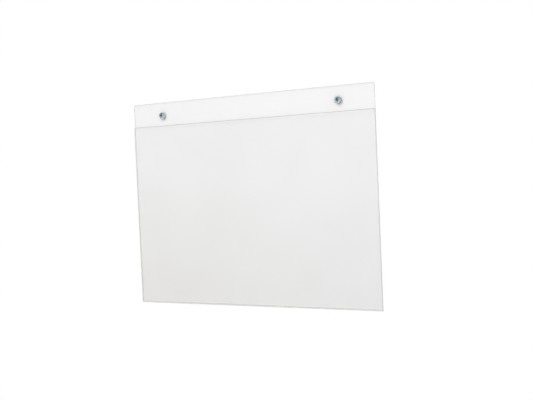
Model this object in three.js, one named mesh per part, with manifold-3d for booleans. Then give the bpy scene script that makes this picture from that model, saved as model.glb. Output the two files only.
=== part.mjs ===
// A clear pocket panel that hangs flat on a wall by two screws.
// One plastic sheet is folded back on itself along the bottom. The tall back sheet lies on the
// wall, the shorter front sheet leaves a thin pocket that is open at the top and at both ends,
// and the screws pass through the single-layer strip above the pocket.
// The sheet is one piece. It is drawn as three solids that meet face to face, its back, its
// fold and its front, so that each is simple and the pocket between them stays open.
//
// Millimetres, +Z up. The front faces -Y, and +X is to the right as seen from the front.
// The origin is on the back face, midway between the two screws.

import * as THREE from 'three';
import { mergeVertices } from 'three/addons/utils/BufferGeometryUtils.js';
import Module from 'manifold-3d';

const wasm = await Module();
wasm.setup();

// ---- Driving dimensions ----------------------------------------------------

// Sheet
const PANEL_WIDTH = 300;
const FRONT_HEIGHT = 210;        // from the bottom of the fold to the front sheet's top edge
const STRIP_HEIGHT = 27.5;       // how far the back sheet stands above the front sheet
const SHEET_THICKNESS = 1;
const POCKET_GAP = 0.8;
const CORNER_RADIUS = 1.2;       // the upper corners of the back and the front
const CORNER_SEGMENTS = 6;
const FOLD_SEGMENTS = 20;        // facets round each side of the fold

// Screw holes
const SCREW_SPACING = 220;
const SCREW_BELOW_TOP = 15.5;
const HOLE_DIAMETER = 5;
const HOLE_SEGMENTS = 32;

// Pan head tapping screw, 4.2 mm
const HEAD_DIAMETER = 8;
const HEAD_HEIGHT = 3.05;
const HEAD_EDGE_RADIUS = 1.9;    // how far in from the rim the top of the head starts to fall
const HEAD_CROWN = 0.45;         // how far the middle of the head stands above that
const HEAD_CLEARANCE = 0.1;      // gap left between the head and the sheet
const SHANK_DIAMETER = 4.2;
const SHANK_LENGTH = 32;         // from under the head to the tip
const TIP_LENGTH = 5.5;
const TIP_FLAT_RADIUS = 0.2;
const SCREW_SEGMENTS = 40;
const HEAD_CURVE_SEGMENTS = 6;

// Cross recess in the head
const RECESS_SPAN = 4.4;         // across the wings at the top of the head
const RECESS_DEPTH = 2.1;
const RECESS_WING = 0.9;         // width of one wing
const RECESS_TAPER = 0.9;        // how much each wing's end leans in by the bottom

// ---- Places worked out from them -------------------------------------------

const PANEL_TOP = SCREW_BELOW_TOP;
const POCKET_MOUTH = PANEL_TOP - STRIP_HEIGHT;
const PANEL_BOTTOM = POCKET_MOUTH - FRONT_HEIGHT;
const FOLD_INNER_RADIUS = POCKET_GAP / 2;
const FOLD_OUTER_RADIUS = FOLD_INNER_RADIUS + SHEET_THICKNESS;
const FOLD_CENTRE = PANEL_BOTTOM + FOLD_OUTER_RADIUS;    // height where the flat sheets end
const HEAD_SEAT = -SHEET_THICKNESS - HEAD_CLEARANCE;

// ---- Materials -------------------------------------------------------------

function clearPlastic() {
  return new THREE.MeshStandardMaterial({
    color: 0xeef1f1,
    roughness: 0.06,
    metalness: 0,
    transparent: true,
    opacity: 0.3,
  });
}

function zincPlate() {
  return new THREE.MeshStandardMaterial({ color: 0xb9c2c6, roughness: 0.24, metalness: 1 });
}

// ---- Sheet -----------------------------------------------------------------

// An upright plate's outline, x across and y up, with its upper corners rounded.
function plateOutline(top) {
  const side = PANEL_WIDTH / 2;
  const outline = new THREE.Shape();
  outline.moveTo(-side, FOLD_CENTRE);
  outline.lineTo(side, FOLD_CENTRE);
  outline.absarc(side - CORNER_RADIUS, top - CORNER_RADIUS, CORNER_RADIUS, 0, Math.PI / 2);
  outline.absarc(-side + CORNER_RADIUS, top - CORNER_RADIUS, CORNER_RADIUS, Math.PI / 2, Math.PI);
  return outline;
}

function screwHole(x) {
  const points = [];
  for (let i = 0; i < HOLE_SEGMENTS; i += 1) {
    const angle = (2 * Math.PI * i) / HOLE_SEGMENTS;
    const reach = HOLE_DIAMETER / 2;
    points.push(new THREE.Vector2(x + reach * Math.cos(angle), reach * Math.sin(angle)));
  }
  return new THREE.Path(points);
}

// Stands a flat outline up as a plate, with its back face at the given depth.
function plate(name, outline, backFace) {
  const geometry = new THREE.ExtrudeGeometry(outline, {
    depth: SHEET_THICKNESS,
    bevelEnabled: false,
    curveSegments: CORNER_SEGMENTS,
  });
  geometry.rotateX(Math.PI / 2);
  geometry.translate(0, backFace, 0);
  const mesh = new THREE.Mesh(geometry, clearPlastic());
  mesh.name = name;
  return mesh;
}

function panelBack() {
  const outline = plateOutline(PANEL_TOP);
  outline.holes = [-1, 1].map((side) => screwHole((side * SCREW_SPACING) / 2));
  return plate('panel_back', outline, 0);
}

function panelFront() {
  return plate('panel_front', plateOutline(POCKET_MOUTH), -SHEET_THICKNESS - POCKET_GAP);
}

// The half ring of the fold, drawn with x as depth and y as height, and run along the width.
function panelFold() {
  const section = new THREE.Shape();
  section.absarc(0, 0, FOLD_OUTER_RADIUS, Math.PI, 2 * Math.PI, false);
  section.absarc(0, 0, FOLD_INNER_RADIUS, 2 * Math.PI, Math.PI, true);
  const geometry = new THREE.ExtrudeGeometry(section, {
    depth: PANEL_WIDTH,
    bevelEnabled: false,
    curveSegments: FOLD_SEGMENTS,
  });
  // The section's x becomes depth (Y), its y becomes height (Z), and it runs along X.
  geometry.applyMatrix4(new THREE.Matrix4().set(
    0, 0, 1, -PANEL_WIDTH / 2,
    1, 0, 0, -FOLD_OUTER_RADIUS,
    0, 1, 0, FOLD_CENTRE,
    0, 0, 0, 1,
  ));
  const mesh = new THREE.Mesh(geometry, clearPlastic());
  mesh.name = 'panel_fold';
  return mesh;
}

// ---- Screws ----------------------------------------------------------------

function toSolid(geometry) {
  const bare = geometry.clone();
  bare.deleteAttribute('normal');
  bare.deleteAttribute('uv');
  const merged = mergeVertices(bare);
  const mesh = new wasm.Mesh({
    numProp: 3,
    vertProperties: new Float32Array(merged.attributes.position.array),
    triVerts: new Uint32Array(merged.index.array),
  });
  return new wasm.Manifold(mesh);
}

function toGeometry(solid) {
  const mesh = solid.getMesh();
  const geometry = new THREE.BufferGeometry();
  geometry.setAttribute('position', new THREE.BufferAttribute(mesh.vertProperties, 3));
  geometry.setIndex(new THREE.BufferAttribute(mesh.triVerts, 1));
  geometry.computeVertexNormals();
  return geometry;
}

// The screw's outline from the middle of its head to its tip, turned about the Y axis.
// The head points to -Y, and the underside of the head is at y = 0.
function screwProfile() {
  const headRadius = HEAD_DIAMETER / 2;
  const shankRadius = SHANK_DIAMETER / 2;
  const crownRadius = headRadius - HEAD_EDGE_RADIUS;
  const shoulder = -HEAD_HEIGHT + HEAD_CROWN;
  const head = new THREE.Path();
  head.moveTo(0, -HEAD_HEIGHT);
  head.quadraticCurveTo(crownRadius / 2, -HEAD_HEIGHT, crownRadius, shoulder);
  head.quadraticCurveTo(headRadius, shoulder + HEAD_CROWN, headRadius, shoulder + HEAD_EDGE_RADIUS);
  return [
    ...head.getPoints(HEAD_CURVE_SEGMENTS),
    new THREE.Vector2(headRadius, 0),
    new THREE.Vector2(shankRadius, 0),
    new THREE.Vector2(shankRadius, SHANK_LENGTH - TIP_LENGTH),
    new THREE.Vector2(TIP_FLAT_RADIUS, SHANK_LENGTH),
    new THREE.Vector2(0, SHANK_LENGTH),
  ];
}

// One slot of the cross recess, whose ends lean in towards the bottom.
function recessSlot(turn) {
  const above = 1;
  const half = RECESS_SPAN / 2;
  const outline = new THREE.Shape([
    new THREE.Vector2(-half, -HEAD_HEIGHT - above),
    new THREE.Vector2(half, -HEAD_HEIGHT - above),
    new THREE.Vector2(half, -HEAD_HEIGHT),
    new THREE.Vector2(half - RECESS_TAPER, -HEAD_HEIGHT + RECESS_DEPTH),
    new THREE.Vector2(-half + RECESS_TAPER, -HEAD_HEIGHT + RECESS_DEPTH),
    new THREE.Vector2(-half, -HEAD_HEIGHT),
  ]);
  const geometry = new THREE.ExtrudeGeometry(outline, { depth: RECESS_WING, bevelEnabled: false });
  geometry.translate(0, 0, -RECESS_WING / 2);
  geometry.rotateY(turn);
  return toSolid(geometry);
}

function screwGeometry() {
  const body = toSolid(new THREE.LatheGeometry(screwProfile(), SCREW_SEGMENTS));
  return toGeometry(body.subtract(recessSlot(0)).subtract(recessSlot(Math.PI / 2)));
}

function screw(name, x) {
  const mesh = new THREE.Mesh(screwGeometry(), zincPlate());
  mesh.name = name;
  mesh.position.set(x, HEAD_SEAT, 0);
  return mesh;
}

// ---- Assembly --------------------------------------------------------------

const assembly = new THREE.Group();
assembly.add(panelBack());
assembly.add(panelFold());
assembly.add(panelFront());
assembly.add(screw('screw_left', -SCREW_SPACING / 2));
assembly.add(screw('screw_right', SCREW_SPACING / 2));

export default assembly;
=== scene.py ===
from math import ceil, cos, pi, radians, sin

import bmesh
import bpy
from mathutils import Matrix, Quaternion, Vector


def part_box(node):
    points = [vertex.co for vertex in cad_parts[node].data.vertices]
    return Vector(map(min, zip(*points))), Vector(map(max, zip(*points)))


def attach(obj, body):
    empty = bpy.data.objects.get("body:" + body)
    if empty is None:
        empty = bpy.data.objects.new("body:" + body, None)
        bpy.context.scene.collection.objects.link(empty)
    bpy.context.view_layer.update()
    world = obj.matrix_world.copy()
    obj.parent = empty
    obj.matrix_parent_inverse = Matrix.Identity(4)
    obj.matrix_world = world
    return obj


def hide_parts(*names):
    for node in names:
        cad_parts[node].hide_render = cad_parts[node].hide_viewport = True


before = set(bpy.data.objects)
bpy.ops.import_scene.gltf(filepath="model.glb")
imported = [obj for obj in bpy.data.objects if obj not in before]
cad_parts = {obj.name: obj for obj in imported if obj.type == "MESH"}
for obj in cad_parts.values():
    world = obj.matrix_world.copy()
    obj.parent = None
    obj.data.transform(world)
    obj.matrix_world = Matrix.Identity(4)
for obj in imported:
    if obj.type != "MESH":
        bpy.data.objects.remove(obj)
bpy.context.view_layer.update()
scene = bpy.context.scene


# ---- The folded sheet -------------------------------------------------------------------
# One sheet of clear plastic, 1 mm thick. Its ends are polished and the arrises of its two long
# edges scraped dull, the screw holes are drilled, and it is then warmed along a line and folded
# back on itself, which leaves a pocket open at the top and at both ends.

back_low, back_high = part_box("panel_back")
fold_low, fold_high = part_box("panel_fold")
front_low, front_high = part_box("panel_front")
SHEET = back_high.y - back_low.y
FOLD_OUTER = fold_high.z - fold_low.z
FOLD_MIDDLE = FOLD_OUTER - SHEET / 2
BACK_LENGTH = back_high.z - back_low.z
FRONT_LENGTH = front_high.z - front_low.z
BLANK_LENGTH = BACK_LENGTH + pi * FOLD_MIDDLE + FRONT_LENGTH
HALF_WIDTH = back_high.x
CORNER = 0.0012
CORNER_STEPS = 8
HOLE_RADIUS = 0.0025
HOLE_STEPS = 48
SCRAPED_ARRIS = 0.0003
FOLD_STEPS = 28
WARMED_ZONE = 0.012              # how far above the bottom the bend's faint ripple reaches
FOLD_SHADE_BELOW = 0.6 * SHEET         # how far the painted shade inside the fold spreads down and up
FOLD_SHADE_ABOVE = 0.4 * SHEET
FLAT = 0.9999                    # a face whose normal leans less than this is one of the flats
UPRIGHT = 0.01                   # and one that leans more than this is a cut side
WELD = 1e-7

CLEAR = (0.988, 0.988, 0.988, 1)
SMEARED = (0.978, 0.977, 0.976, 1)
# Painted shade: the worked edges' colours are darkened to stand for the dark lines along the sheet's
# outline, deep on the scraped arrises and light on the polished ends.
SCRAPED_SHADE = (0.16, 0.17, 0.175, 1)
SCRAPED_PALE_SHADE = (0.30, 0.31, 0.31, 1)
TOP_EDGE = (0.62, 0.63, 0.63, 1)     # painted shade, paler on the back's top edge than on the front's
POLISHED_SHADE = (0.80, 0.81, 0.81, 1)
POLISHED_PALE_SHADE = (0.93, 0.93, 0.93, 1)
# painted shade along the inside of the fold
FOLD_SHADE = (0.84, 0.84, 0.83, 1)
FACE_LIGHT = (0.975, 0.975, 0.975, 1)    # what each finish lets through of the lamps' light
ARRIS_LIGHT = (0.6, 0.6, 0.6, 1)
END_LIGHT = (0.9, 0.9, 0.9, 1)
PLASTIC_IOR = 1.49


class Signal:
    """An output socket in a node tree, whose arithmetic adds Math nodes to that tree."""

    def __init__(self, tree, output=None):
        self.tree, self.output = tree, output

    def node(self, kind, settings=None, inputs=None):
        made = self.tree.nodes.new(kind)
        for name, value in (settings or {}).items():
            setattr(made, name, value)
        for name, value in (inputs or {}).items():
            for given in value if isinstance(value, list) else [value]:
                if isinstance(given, Signal):
                    self.tree.links.new(given.output, made.inputs[name])
                else:
                    made.inputs[name].default_value = given
        return Signal(self.tree, made.outputs[0] if made.outputs else None)

    def __getitem__(self, name):
        return Signal(self.tree, self.output.node.outputs[name])

    def math(self, operation, *values):
        return self.node("ShaderNodeMath", {"operation": operation}, dict(enumerate(values)))

    def ramp(self, low, high):
        """Rises smoothly from 0 at low to 1 at high."""
        span = {"Value": self, "From Min": low, "From Max": high}
        return self.node("ShaderNodeMapRange", {"interpolation_type": "SMOOTHSTEP"}, span)

    def blend(self, first, second):
        """The first colour where this is 0, the second where it is 1."""
        return self.node("ShaderNodeMix", {"data_type": "RGBA"}, {0: self, 6: first, 7: second})[2]

    def __add__(self, other):
        return self.math("ADD", self, other)

    def __sub__(self, other):
        return self.math("SUBTRACT", self, other)

    def __rsub__(self, other):
        return self.math("SUBTRACT", other, self)

    def __mul__(self, other):
        return self.math("MULTIPLY", self, other)

    def __truediv__(self, other):
        return self.math("DIVIDE", self, other)

    def __neg__(self):
        return self * -1

    def __abs__(self):
        return self.math("ABSOLUTE", self)

    __radd__ = __add__
    __rmul__ = __mul__


def blank_outline():
    """The sheet's flat outline, from the back's upper corners down to the front's."""
    corners = (
        (HALF_WIDTH - CORNER, -CORNER, 0),
        (-HALF_WIDTH + CORNER, -CORNER, pi / 2),
        (-HALF_WIDTH + CORNER, CORNER - BLANK_LENGTH, pi),
        (HALF_WIDTH - CORNER, CORNER - BLANK_LENGTH, 3 * pi / 2),
    )
    turns = [pi / 2 * i / CORNER_STEPS for i in range(CORNER_STEPS + 1)]
    return [
        (x + CORNER * cos(start + turn), y + CORNER * sin(start + turn))
        for x, y, start in corners
        for turn in turns
    ]


def hole_outline(x, y):
    turns = [2 * pi * i / HOLE_STEPS for i in range(HOLE_STEPS)]
    return [(x + HOLE_RADIUS * cos(turn), y + HOLE_RADIUS * sin(turn)) for turn in turns]


def flat_blank(outlines):
    """A flat plate of the sheet's thickness with rounded arrises, as a mesh."""
    curve = bpy.data.curves.new("sheet_blank", "CURVE")
    curve.dimensions = "2D"
    curve.fill_mode = "BOTH"
    curve.extrude = SHEET / 2 - SCRAPED_ARRIS
    curve.bevel_depth = SCRAPED_ARRIS
    curve.bevel_resolution = 3
    curve.offset = -SCRAPED_ARRIS
    for outline in outlines:
        spline = curve.splines.new("POLY")
        spline.points.add(len(outline) - 1)
        for point, (x, y) in zip(spline.points, outline):
            point.co = (x, y, 0, 1)
        spline.use_cyclic_u = True
    holder = bpy.data.objects.new("sheet_blank", curve)
    scene.collection.objects.link(holder)
    solid = holder.evaluated_get(bpy.context.evaluated_depsgraph_get())
    mesh = bpy.data.meshes.new_from_object(solid)
    bpy.data.objects.remove(holder)
    bpy.data.curves.remove(curve)
    return mesh


def score_fold(mesh):
    """Cuts rows across the blank where it bends, and keeps its two faces crisply flat."""
    shape = bmesh.new()
    shape.from_mesh(mesh)
    bmesh.ops.remove_doubles(shape, verts=shape.verts, dist=WELD)
    bmesh.ops.recalc_face_normals(shape, faces=shape.faces)
    for i in range(FOLD_STEPS + 1):
        row = (0, -BACK_LENGTH - pi * FOLD_MIDDLE * i / FOLD_STEPS, 0)
        everything = shape.verts[:] + shape.edges[:] + shape.faces[:]
        bmesh.ops.bisect_plane(shape, geom=everything, dist=WELD, plane_co=row, plane_no=(0, 1, 0))
    for face in shape.faces:
        face.smooth = True
    for edge in shape.edges:
        flat = {abs(face.normal.z) > FLAT for face in edge.link_faces}
        edge.smooth = len(flat) == 1
    shape.to_mesh(mesh)
    shape.free()


def fold_tree():
    """Bends the flat blank round its fold line: down the back, round, and up the front.

    Standing the blank up swaps its length for height, which mirrors it, so its faces are
    turned the right way out again.
    """
    tree = bpy.data.node_groups.new("fold_sheet", "GeometryNodeTree")
    tree.interface.new_socket("Geometry", in_out="INPUT", socket_type="NodeSocketGeometry")
    for name in ("Back Top", "Back Length", "Fold Radius", "Fold Depth", "Scraped Half"):
        tree.interface.new_socket(name, in_out="INPUT", socket_type="NodeSocketFloat")
    for name in ("Faces", "Arrises", "Ends"):
        tree.interface.new_socket(name, in_out="INPUT", socket_type="NodeSocketMaterial")
    tree.interface.new_socket("Geometry", in_out="OUTPUT", socket_type="NodeSocketGeometry")
    make = Signal(tree)
    given = make.node("NodeGroupInput")
    facing = make.node("ShaderNodeSeparateXYZ", {}, {0: make.node("GeometryNodeInputNormal")})
    flat = make.node("ShaderNodeSeparateXYZ", {}, {0: make.node("GeometryNodeInputPosition")})
    cut = make.math("LESS_THAN", abs(facing["Z"]), FLAT)
    on_long_edge = make.math("LESS_THAN", abs(flat["X"]), given["Scraped Half"])
    arris = cut * make.math("GREATER_THAN", abs(facing["Z"]), UPRIGHT) * on_long_edge
    marked = make.node(
        "GeometryNodeStoreNamedAttribute",
        {"data_type": "FLOAT", "domain": "FACE"},
        {"Geometry": given["Geometry"], "Name": "finish", "Value": cut + arris},
    )
    along = -flat["Y"] - given["Back Length"]
    bend = given["Fold Radius"] * pi
    angle = make.math("MINIMUM", make.math("MAXIMUM", along, 0), bend) / given["Fold Radius"]
    reach = given["Fold Radius"] + flat["Z"]
    depth = reach * make.math("COSINE", angle) - given["Fold Depth"]
    above_fold = make.math("MAXIMUM", -along, 0) + make.math("MAXIMUM", along - bend, 0)
    fold_centre = given["Back Top"] - given["Back Length"]
    height = fold_centre + above_fold - reach * make.math("SINE", angle)
    place = make.node("ShaderNodeCombineXYZ", {}, {"X": flat["X"], "Y": depth, "Z": height})
    bent = make.node("GeometryNodeSetPosition", {}, {"Geometry": marked, "Position": place})
    outward = make.node("GeometryNodeFlipFaces", {}, {"Mesh": bent})
    real = make.node("GeometryNodeRealizeInstances", {}, {"Geometry": outward})
    faced = make.node("GeometryNodeSetMaterial", {}, {"Geometry": real, "Material": given["Faces"]})
    finish = make.node("GeometryNodeInputNamedAttribute", {"data_type": "FLOAT"}, {"Name": "finish"})
    for limit, name in ((0.5, "Ends"), (1.5, "Arrises")):
        chosen = make.math("GREATER_THAN", finish, limit)
        change = {"Geometry": faced, "Selection": chosen, "Material": given[name]}
        faced = make.node("GeometryNodeSetMaterial", {}, change)
    make.node("NodeGroupOutput", {}, {"Geometry": faced})
    return tree


def bake_tree(piece, tree, sizes):
    """Runs a geometry tree on a piece with the given named sizes, and keeps the plain mesh."""
    modifier = piece.modifiers.new(tree.name, "NODES")
    modifier.node_group = tree
    for item in tree.interface.items_tree:
        if item.in_out == "INPUT" and item.name in sizes:
            modifier[item.identifier] = sizes[item.name]
    bpy.context.view_layer.update()
    result = piece.evaluated_get(bpy.context.evaluated_depsgraph_get())
    mesh = bpy.data.meshes.new_from_object(result)
    piece.modifiers.remove(modifier)
    piece.data = mesh


def new_material(name):
    material = bpy.data.materials.new(name)
    material.use_nodes = True
    material.node_tree.nodes.clear()
    return material, Signal(material.node_tree)


def finish_clear(make, body, light_share):
    """Lets the lamps' light pass straight through, so that the sheet throws a pale shadow."""
    rays = make.node("ShaderNodeLightPath")
    lamp_ray = make.math("MAXIMUM", rays["Is Shadow Ray"], rays["Is Diffuse Ray"])
    passing = make.node("ShaderNodeBsdfTransparent", {}, {"Color": light_share})
    surface = make.node("ShaderNodeMixShader", {}, {0: lamp_ray, 1: body, 2: passing})
    make.node("ShaderNodeOutputMaterial", {}, {"Surface": surface})


def polished_faces():
    """Extruded gloss: hairline scuffs, faint smears, a slight ripple, and painted shade along the fold.
    """
    material, make = new_material("clear_sheet")
    place = make.node("ShaderNodeTexCoord")["Object"]
    smear = make.node("ShaderNodeTexNoise", {}, {"Vector": place, "Scale": 14.0, "Detail": 4.0})["Fac"]
    along = {"Vector": place, "Rotation": (0, 0.35, 0), "Scale": (35, 1, 2400)}
    lie = make.node("ShaderNodeMapping", {}, along)
    hair = make.node("ShaderNodeTexNoise", {}, {"Vector": lie, "Scale": 1.0, "Detail": 2.0})["Fac"]
    scuff = hair.ramp(0.66, 0.74) * smear.ramp(0.42, 0.62)
    height = make.node("ShaderNodeSeparateXYZ", {}, {0: place})["Z"]
    warmed = 1 - height.ramp(fold_low.z, fold_low.z + WARMED_ZONE)
    crease = fold_low.z + SHEET
    # painted shade: a darker band along the inside of the fold
    below_crease = height.ramp(crease - FOLD_SHADE_BELOW, crease)
    fold_shade = below_crease * (1 - height.ramp(crease + FOLD_SHADE_ABOVE, crease + SHEET))
    ripple = make.node("ShaderNodeTexNoise", {}, {"Vector": place, "Scale": 90.0})["Fac"] * warmed
    relief = {"Strength": 0.05, "Distance": 0.0004, "Height": ripple - scuff * 0.1}
    dent = make.node("ShaderNodeBump", {}, relief)
    tint = smear.ramp(0.35, 0.75).blend(CLEAR, SMEARED)
    body = make.node(
        "ShaderNodeBsdfPrincipled",
        {},
        {
            "Base Color": fold_shade.blend(tint, FOLD_SHADE),
            "Roughness": 0.01 + smear.ramp(0.45, 0.75) * 0.03 + scuff * 0.08,
            "Normal": dent,
            "IOR": PLASTIC_IOR,
            "Transmission Weight": 1.0,
        },
    )
    finish_clear(make, body, FACE_LIGHT)
    return material


def cut_edge(name, dull_shade, bright, top_edge, roughness, clearness, light_share):
    """A worked edge: fine marks from the blade over broader patches of paler and darker tone, on a base
    colour darkened with painted shade.
    """
    material, make = new_material(name)
    place = make.node("ShaderNodeTexCoord")["Object"]
    marks = make.node("ShaderNodeTexNoise", {}, {"Vector": place, "Scale": 1400.0, "Detail": 3.0})["Fac"]
    patches = make.node("ShaderNodeTexNoise", {}, {"Vector": place, "Scale": 60.0, "Detail": 2.0})["Fac"]
    pale = marks.ramp(0.35, 0.65) * 0.6 + patches.ramp(0.35, 0.7) * 0.4
    height = make.node("ShaderNodeSeparateXYZ", {}, {0: place})["Z"]
    at_top = height.ramp(back_high.z - 2 * SHEET, back_high.z - SHEET)
    dent = {"Strength": 0.3, "Distance": 0.00003, "Height": marks}
    body = make.node(
        "ShaderNodeBsdfPrincipled",
        {},
        {
            # painted shade on the worked edge, paler along the back's top edge
            "Base Color": at_top.blend(pale.blend(dull_shade, bright), top_edge),
            "Roughness": roughness + marks * 0.1,
            "Normal": make.node("ShaderNodeBump", {}, dent),
            "IOR": PLASTIC_IOR,
            "Transmission Weight": clearness,
        },
    )
    finish_clear(make, body, light_share)
    return material


screw_boxes = [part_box("screw_left"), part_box("screw_right")]
screw_places = [(low + high) / 2 for low, high in screw_boxes]
holes = [hole_outline(place.x, place.z - back_high.z) for place in screw_places]
blank = flat_blank([blank_outline(), *holes])
score_fold(blank)
panel = bpy.data.objects.new("folded_sheet", blank)
scene.collection.objects.link(panel)
panel_sizes = {
    "Back Top": back_high.z,
    "Back Length": BACK_LENGTH,
    "Fold Radius": FOLD_MIDDLE,
    "Fold Depth": FOLD_OUTER,
    "Scraped Half": HALF_WIDTH - SCRAPED_ARRIS,
    "Faces": polished_faces(),
    "Arrises": cut_edge("scraped_arris_shade", SCRAPED_SHADE, SCRAPED_PALE_SHADE, TOP_EDGE, 0.4, 0.3, ARRIS_LIGHT),
    "Ends": cut_edge("polished_end_shade", POLISHED_SHADE, POLISHED_PALE_SHADE, POLISHED_SHADE, 0.02, 1.0, END_LIGHT),
}
bake_tree(panel, fold_tree(), panel_sizes)
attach(panel, "root")
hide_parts("panel_back", "panel_fold", "panel_front")


# ---- The screws -------------------------------------------------------------------------
# Two 4.2 mm pan head tapping screws of carbon steel. The head and its cross recess are
# cold-forged, the thread is rolled, and the whole screw is zinc plated and blue passivated.
# Each is driven through its hole until the head bears on the strip.

HEAD_RADIUS = (screw_boxes[0][1].x - screw_boxes[0][0].x) / 2
HEAD_HEIGHT = 0.00305
RIM_HEIGHT = 0.0006              # the upright band round the bottom of the head
HEAD_FULLNESS = 0.72             # 1 is a plain dome, and less is squarer in outline
THREAD_RADIUS = 0.0021
CORE_RADIUS = 0.00155
POINT_LENGTH = 0.0055
PITCH = 0.0014
CREST_SHARE = 0.24               # half the crest's width at its root, as a share of the pitch
RECESS_SPAN = 0.0044
RECESS_DEPTH = 0.0021
RECESS_WING = 0.00095
RECESS_LEAN = 0.0009
RECESS_SOCKET = 0.00125          # radius of the round socket where the wings meet
LEFT_TURN = radians(8)           # how far past upright each recess has stopped
RIGHT_TURN = radians(-5)
SCREW_FACETS = 48
HEAD_ROWS = 30
DOME_SHARE = 0.8                 # how much of those rows is dome, before the rim and underside
CREASE_ANGLE = radians(38)
SEAM_WELD = 2e-6
ROWS_PER_TURN = 10
SHANK_LENGTH = screw_boxes[0][1].y - back_low.y
THREAD_TURNS = ceil(SHANK_LENGTH / PITCH) + 1

ZINC = (0.66, 0.68, 0.69, 1)
ZINC_BLUE = (0.46, 0.62, 0.67, 1)
# teal of the passivation film, darkened with painted shade for the recess
RECESS_TEAL_SHADE = (0.26, 0.52, 0.57, 1)
# painted reflection: a dark teal patch on each head
REFLECTED_TEAL = (0.14, 0.38, 0.43, 1)
REFLECTION_LEFT = 0.0001               # how far off the screw's axis the painted teal reflection is centred
REFLECTION_UP = 0.0008
TOOL_MARKS = 0.00012             # spacing of the fine rings on the head


def lathe_grid(make, rows):
    """A grid whose two counts are turned into a turn round the screw and a way along it."""
    sizes = {"Size X": 1.0, "Size Y": 1.0, "Vertices X": SCREW_FACETS + 1, "Vertices Y": rows + 1}
    grid = make.node("GeometryNodeMeshGrid", {}, sizes)
    spot = make.node("ShaderNodeSeparateXYZ", {}, {0: make.node("GeometryNodeInputPosition")})
    return grid, spot["X"] + 0.5, spot["Y"] + 0.5


def wrap(make, grid, turn, radius, depth):
    """Wraps a lathe grid round the screw's axis at the given radius and depth."""
    angle = turn * (2 * pi)
    ring = {
        "X": radius * make.math("COSINE", angle),
        "Y": depth,
        "Z": radius * make.math("SINE", angle),
    }
    place = make.node("ShaderNodeCombineXYZ", {}, ring)
    return make.node("GeometryNodeSetPosition", {}, {"Geometry": grid, "Position": place})


def screw_head(make, given):
    """A domed pan head: dome, upright rim, then the flat underside in to the core."""
    grid, turn, way = lathe_grid(make, HEAD_ROWS)
    lean = make.math("MINIMUM", way / DOME_SHARE, 1) * (pi / 2)
    over = make.math("MAXIMUM", way - DOME_SHARE, 0) / (1 - DOME_SHARE)
    dome_radius = given["Head Radius"] * make.math("POWER", make.math("SINE", lean), HEAD_FULLNESS)
    rise = make.math("POWER", make.math("MAXIMUM", make.math("COSINE", lean), 0), HEAD_FULLNESS)
    dome_height = (given["Head Height"] - given["Rim Height"]) * rise
    under = make.math("MAXIMUM", over * 2 - 1, 0)
    radius = dome_radius - (given["Head Radius"] - given["Core Radius"]) * under
    rim = given["Rim Height"] * (1 - make.math("MINIMUM", over * 2, 1))
    return wrap(make, grid, turn, radius, -(dome_height + rim))


def screw_shank(make, given):
    """The rolled thread. Its rows follow the helix, so that the crest is one clean line.

    A turn is a whole number of rows, so that the two sides of the seam meet.
    """
    grid, turn, way = lathe_grid(make, THREAD_TURNS * ROWS_PER_TURN)
    turns = way * THREAD_TURNS
    raw = (turns - turn) * given["Pitch"]
    depth = make.math("MINIMUM", make.math("MAXIMUM", raw, 0), given["Length"])
    left = (given["Length"] - depth) / given["Point Length"]
    taper = make.math("MINIMUM", left, 1)
    crest = make.math("MAXIMUM", 1 - abs(make.math("FRACT", turns) - 0.5) / CREST_SHARE, 0)
    start = make.math("MINIMUM", depth / given["Pitch"], 1)
    height = (given["Thread Radius"] - given["Core Radius"]) * crest * start
    radius = given["Core Radius"] * taper + height * make.math("MINIMUM", left * 1.6, 1)
    return wrap(make, grid, turn, radius, depth)


def recess_wing(make, given, turned):
    """One slot of the recess: a wedge that narrows towards its bottom."""
    block = make.node("GeometryNodeMeshCube", {}, {"Size": (1, 1, 1)})
    spot = make.node("ShaderNodeSeparateXYZ", {}, {0: make.node("GeometryNodeInputPosition")})
    sunk = (spot["Y"] + 0.5) * 1.3 - 0.3
    shape = {
        "X": spot["X"] * (given["Recess Span"] - given["Recess Lean"] * 2 * sunk),
        "Y": sunk * given["Recess Depth"] - given["Head Height"],
        "Z": spot["Z"] * given["Recess Wing"] * (1 - sunk * 0.25),
    }
    place = make.node("ShaderNodeCombineXYZ", {}, shape)
    wing = make.node("GeometryNodeSetPosition", {}, {"Geometry": block, "Position": place})
    return make.node("GeometryNodeTransform", {}, {"Geometry": wing, "Rotation": (0, turned, 0)})


def recess_socket(make, given):
    """The tapered round socket where the slots cross."""
    cone = make.node(
        "GeometryNodeMeshCone",
        {},
        {
            "Vertices": 24,
            "Radius Top": given["Recess Socket"] * 0.35,
            "Radius Bottom": given["Recess Socket"] * 1.25,
            "Depth": given["Recess Depth"] * 1.45,
        },
    )
    mouth = -given["Head Height"] - given["Recess Depth"] * 0.3
    drop = make.node("ShaderNodeCombineXYZ", {}, {"Y": mouth})
    settings = {"Geometry": cone, "Translation": drop, "Rotation": (-pi / 2, 0, 0)}
    return make.node("GeometryNodeTransform", {}, settings)


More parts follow.
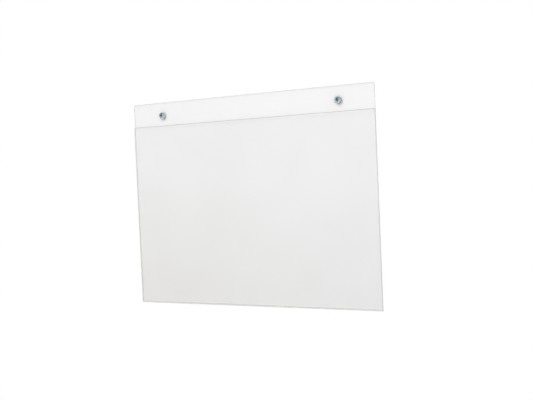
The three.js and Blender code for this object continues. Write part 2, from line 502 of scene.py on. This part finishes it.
def screw_tree():
    tree = bpy.data.node_groups.new("pan_head_screw", "GeometryNodeTree")
    sizes = (
        "Head Radius", "Head Height", "Rim Height", "Thread Radius", "Core Radius", "Length",
        "Point Length", "Pitch", "Recess Span", "Recess Depth", "Recess Wing", "Recess Lean",
        "Recess Socket",
    )
    for name in sizes:
        tree.interface.new_socket(name, in_out="INPUT", socket_type="NodeSocketFloat")
    for name in ("Turn", "Place"):
        tree.interface.new_socket(name, in_out="INPUT", socket_type="NodeSocketVector")
    tree.interface.new_socket("Plating", in_out="INPUT", socket_type="NodeSocketMaterial")
    tree.interface.new_socket("Geometry", in_out="OUTPUT", socket_type="NodeSocketGeometry")
    make = Signal(tree)
    given = make.node("NodeGroupInput")
    halves = [screw_head(make, given), screw_shank(make, given)]
    body = make.node("GeometryNodeJoinGeometry", {}, {0: halves})
    closed = make.node("GeometryNodeMergeByDistance", {}, {"Geometry": body, "Distance": SEAM_WELD})
    outward = make.node("GeometryNodeFlipFaces", {}, {"Mesh": closed})
    wings = [recess_wing(make, given, 0), recess_wing(make, given, pi / 2)]
    punch = [*wings, recess_socket(make, given)]
    cutting = {"operation": "DIFFERENCE", "solver": "MANIFOLD"}
    parts = {"Mesh 1": outward, "Mesh 2": punch}
    cut = make.node("GeometryNodeMeshBoolean", cutting, parts)
    smooth = make.node("GeometryNodeSetShadeSmooth", {"domain": "FACE"}, {"Geometry": cut})
    bend = make.node("GeometryNodeInputMeshEdgeAngle")["Unsigned Angle"]
    creased = make.math("GREATER_THAN", bend, CREASE_ANGLE)
    creases = {"Geometry": smooth, "Selection": creased, "Shade Smooth": False}
    crisp = make.node("GeometryNodeSetShadeSmooth", {"domain": "EDGE"}, creases)
    settings = {"Geometry": crisp, "Translation": given["Place"], "Rotation": given["Turn"]}
    driven = make.node("GeometryNodeTransform", {}, settings)
    real = make.node("GeometryNodeRealizeInstances", {}, {"Geometry": driven})
    plated = make.node("GeometryNodeSetMaterial", {}, {"Geometry": real, "Material": given["Plating"]})
    make.node("NodeGroupOutput", {}, {"Geometry": plated})
    return tree


def zinc_plating():
    """Bright zinc with a blue passivation film, with painted shade in the recess and a painted teal
    reflection above it.
    """
    material, make = new_material("zinc_plate")
    place = make.node("ShaderNodeTexCoord")["Object"]
    spot = make.node("ShaderNodeSeparateXYZ", {}, {0: place})
    side = make.math("SIGN", spot["X"])
    aside = spot["X"] - side * screw_places[1].x
    radius = make.math("SQRT", aside * aside + spot["Z"] * spot["Z"])
    head_top = back_low.y - HEAD_HEIGHT
    in_head = 1 - spot["Y"].ramp(back_low.y - 0.0002, back_low.y)
    sunk = spot["Y"].ramp(head_top + 0.0002, head_top + 0.0009) * (1 - radius.ramp(0.0021, 0.0025))
    # painted reflection: a teal patch centred a little up from the screw's axis
    across, up = aside + REFLECTION_LEFT, spot["Z"] - REFLECTION_UP
    reflection_radius = make.math("SQRT", across * across + up * up)
    teal_reflection = (1 - reflection_radius.ramp(0.0008, 0.0030)) * in_head
    # painted shade in the recess, over the teal film
    recess = sunk * in_head
    film = make.node("ShaderNodeTexNoise", {}, {"Vector": place, "Scale": 520.0, "Detail": 3.0})["Fac"]
    grain = make.node("ShaderNodeTexNoise", {}, {"Vector": place, "Scale": 5200.0, "Detail": 2.0})["Fac"]
    rings = make.math("SINE", radius * (2 * pi / TOOL_MARKS)) * in_head
    plate = (teal_reflection * 0.9).blend(film.ramp(0.35, 0.7).blend(ZINC, ZINC_BLUE), REFLECTED_TEAL)
    dent = {"Strength": 0.25, "Distance": 0.00002, "Height": grain + rings * 0.25}
    body = make.node(
        "ShaderNodeBsdfPrincipled",
        {},
        {
            "Base Color": recess.blend(plate, RECESS_TEAL_SHADE),
            "Roughness": 0.2 + film * 0.12 + grain * 0.08 + recess * 0.1,
            "Normal": make.node("ShaderNodeBump", {}, dent),
            "Metallic": 1.0,
        },
    )
    make.node("ShaderNodeOutputMaterial", {}, {"Surface": body})
    return material


screws = screw_tree()
plating = zinc_plating()
for name, (low, high), turn in zip(("left", "right"), screw_boxes, (LEFT_TURN, RIGHT_TURN)):
    piece = bpy.data.objects.new("tapping_screw_" + name, bpy.data.meshes.new("tapping_screw_" + name))
    scene.collection.objects.link(piece)
    screw_sizes = {
        "Head Radius": HEAD_RADIUS,
        "Head Height": HEAD_HEIGHT,
        "Rim Height": RIM_HEIGHT,
        "Thread Radius": THREAD_RADIUS,
        "Core Radius": CORE_RADIUS,
        "Length": SHANK_LENGTH,
        "Point Length": POINT_LENGTH,
        "Pitch": PITCH,
        "Recess Span": RECESS_SPAN,
        "Recess Depth": RECESS_DEPTH,
        "Recess Wing": RECESS_WING,
        "Recess Lean": RECESS_LEAN,
        "Recess Socket": RECESS_SOCKET,
        "Turn": (0, turn, 0),
        "Place": ((low.x + high.x) / 2, back_low.y, (low.z + high.z) / 2),
        "Plating": plating,
    }
    bake_tree(piece, screws, screw_sizes)
    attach(piece, "root")
    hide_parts("screw_" + name)


# ---- Wall and floor ---------------------------------------------------------------------
# A matt white wall just behind the sheet, seen only through the plastic, and a pale floor
# well below. The wall's colour carries painted shade: darker away from the lamp, most of all low down on
# the left.

WALL_GAP = 0.0003
WALL_LEFT, WALL_RIGHT = -1.0, 1.0
WALL_BOTTOM, WALL_TOP = -0.9, 0.7
FLOOR = -1.2
FLOOR_HALF = 1.5
# painted shade: the wall's colour at each corner, darker low down and on the left
UPPER_LEFT = (0.690, 0.690, 0.690, 1)
UPPER_RIGHT = (0.728, 0.728, 0.728, 1)
LOWER_LEFT = (0.643, 0.636, 0.622, 1)
LOWER_RIGHT = (0.678, 0.678, 0.678, 1)
SHADE_START = 0.06               # how far below the sheet's top the wall starts to darken
FLOOR_NEAR = (0.78, 0.78, 0.77, 1)
FLOOR_FAR = (0.90, 0.90, 0.90, 1)


def stage_plate(name, corners, colour_of):
    mesh = bpy.data.meshes.new(name)
    mesh.from_pydata(corners, [], [(0, 1, 2, 3)])
    piece = bpy.data.objects.new(name, mesh)
    scene.collection.objects.link(piece)
    material, make = new_material(name)
    spot = make.node("ShaderNodeSeparateXYZ", {}, {0: make.node("ShaderNodeTexCoord")["Object"]})
    looks = {"Base Color": colour_of(spot), "Roughness": 0.9, "Specular IOR Level": 0.0}
    body = make.node("ShaderNodeBsdfPrincipled", {}, looks)
    make.node("ShaderNodeOutputMaterial", {}, {"Surface": body})
    mesh.materials.append(material)
    return piece


# painted shade: the wall darkens downward and to the left
def wall_tone(spot):
    across = spot["X"].ramp(-HALF_WIDTH, HALF_WIDTH)
    high_up = spot["Z"].ramp(fold_low.z, back_high.z - SHADE_START)
    lower = across.blend(LOWER_LEFT, LOWER_RIGHT)
    return high_up.blend(lower, across.blend(UPPER_LEFT, UPPER_RIGHT))


def floor_tone(spot):
    away = spot.math("SQRT", spot["X"] * spot["X"] + spot["Y"] * spot["Y"])
    return away.ramp(0.2, FLOOR_HALF).blend(FLOOR_NEAR, FLOOR_FAR)


wall_corners = [
    (WALL_LEFT, WALL_GAP, WALL_BOTTOM),
    (WALL_RIGHT, WALL_GAP, WALL_BOTTOM),
    (WALL_RIGHT, WALL_GAP, WALL_TOP),
    (WALL_LEFT, WALL_GAP, WALL_TOP),
]
wall = stage_plate("wall", wall_corners, wall_tone)
wall.visible_camera = False
floor_corners = [
    (-FLOOR_HALF, -FLOOR_HALF, FLOOR),
    (FLOOR_HALF, -FLOOR_HALF, FLOOR),
    (FLOOR_HALF, FLOOR_HALF, FLOOR),
    (-FLOOR_HALF, FLOOR_HALF, FLOOR),
]
stage_plate("floor", floor_corners, floor_tone)


# ---- Lights -----------------------------------------------------------------------------
# A soft lamp up on the left throws each head's shadow down to the right. The room is white
# to look at. What the screws and the sheet mirror is bright on the left and dark below.

KEY_PLACE = Vector((-0.4, -1.3, 1.0))
KEY_AIM = Vector((0, 0, -0.1))
KEY_SIZE = 0.9
KEY_POWER = 15
ROOM_BRIGHT_SIDE = (-0.356, -0.864, -0.356)
ROOM_DARK = 0.5
FLOOR_DARK = 0.2

key_data = bpy.data.lights.new("key", "AREA")
key_data.shape = "DISK"
key_data.size = KEY_SIZE
key_data.energy = KEY_POWER
key = bpy.data.objects.new("key", key_data)
key.location = KEY_PLACE
key.rotation_euler = (KEY_AIM - KEY_PLACE).to_track_quat("-Z", "Y").to_euler()
key.visible_glossy = False
scene.collection.objects.link(key)

world = bpy.data.worlds.new("studio")
world.use_nodes = True
world.node_tree.nodes.clear()
scene.world = world
make = Signal(world.node_tree)
rays = make.node("ShaderNodeLightPath")
way = make.node("ShaderNodeTexCoord")["Generated"]
sides = {0: way, 1: ROOM_BRIGHT_SIDE}
towards = make.node("ShaderNodeVectorMath", {"operation": "DOT_PRODUCT"}, sides)["Value"]
upward = make.node("ShaderNodeSeparateXYZ", {}, {0: way})["Z"]
side_light = ROOM_DARK + (1 - ROOM_DARK) * towards.ramp(0.1, 1)
floor_light = FLOOR_DARK + (1 - FLOOR_DARK) * upward.ramp(-0.85, -0.2)
mirrored = rays["Is Glossy Ray"] * (1 - rays["Is Transmission Ray"])
level = 1 - mirrored * (1 - side_light * floor_light)
sky = make.node("ShaderNodeBackground", {}, {"Color": (1, 1, 1, 1), "Strength": level})
make.node("ShaderNodeOutputWorld", {}, {"Surface": sky})

scene.view_settings.view_transform = "Standard"


# ---- Camera -----------------------------------------------------------------------------
# Eye level with the sheet, from the right, with the camera tipped a little clockwise.

AIM = Vector((0.0221, -0.0028, -0.1029))
DISTANCE = 0.8281
AZIMUTH = radians(25.95)
ELEVATION = radians(1.73)
ROLL = radians(-2.53)
LENS = 50.66

back = Vector((sin(AZIMUTH) * cos(ELEVATION), -cos(AZIMUTH) * cos(ELEVATION), sin(ELEVATION)))
camera_data = bpy.data.cameras.new("camera")
camera_data.lens = LENS
camera = bpy.data.objects.new("camera", camera_data)
camera.location = AIM + DISTANCE * back
camera.rotation_mode = "QUATERNION"
camera.rotation_quaternion = (-back).to_track_quat("-Z", "Y") @ Quaternion((0, 0, 1), ROLL)
scene.collection.objects.link(camera)
scene.camera = camera
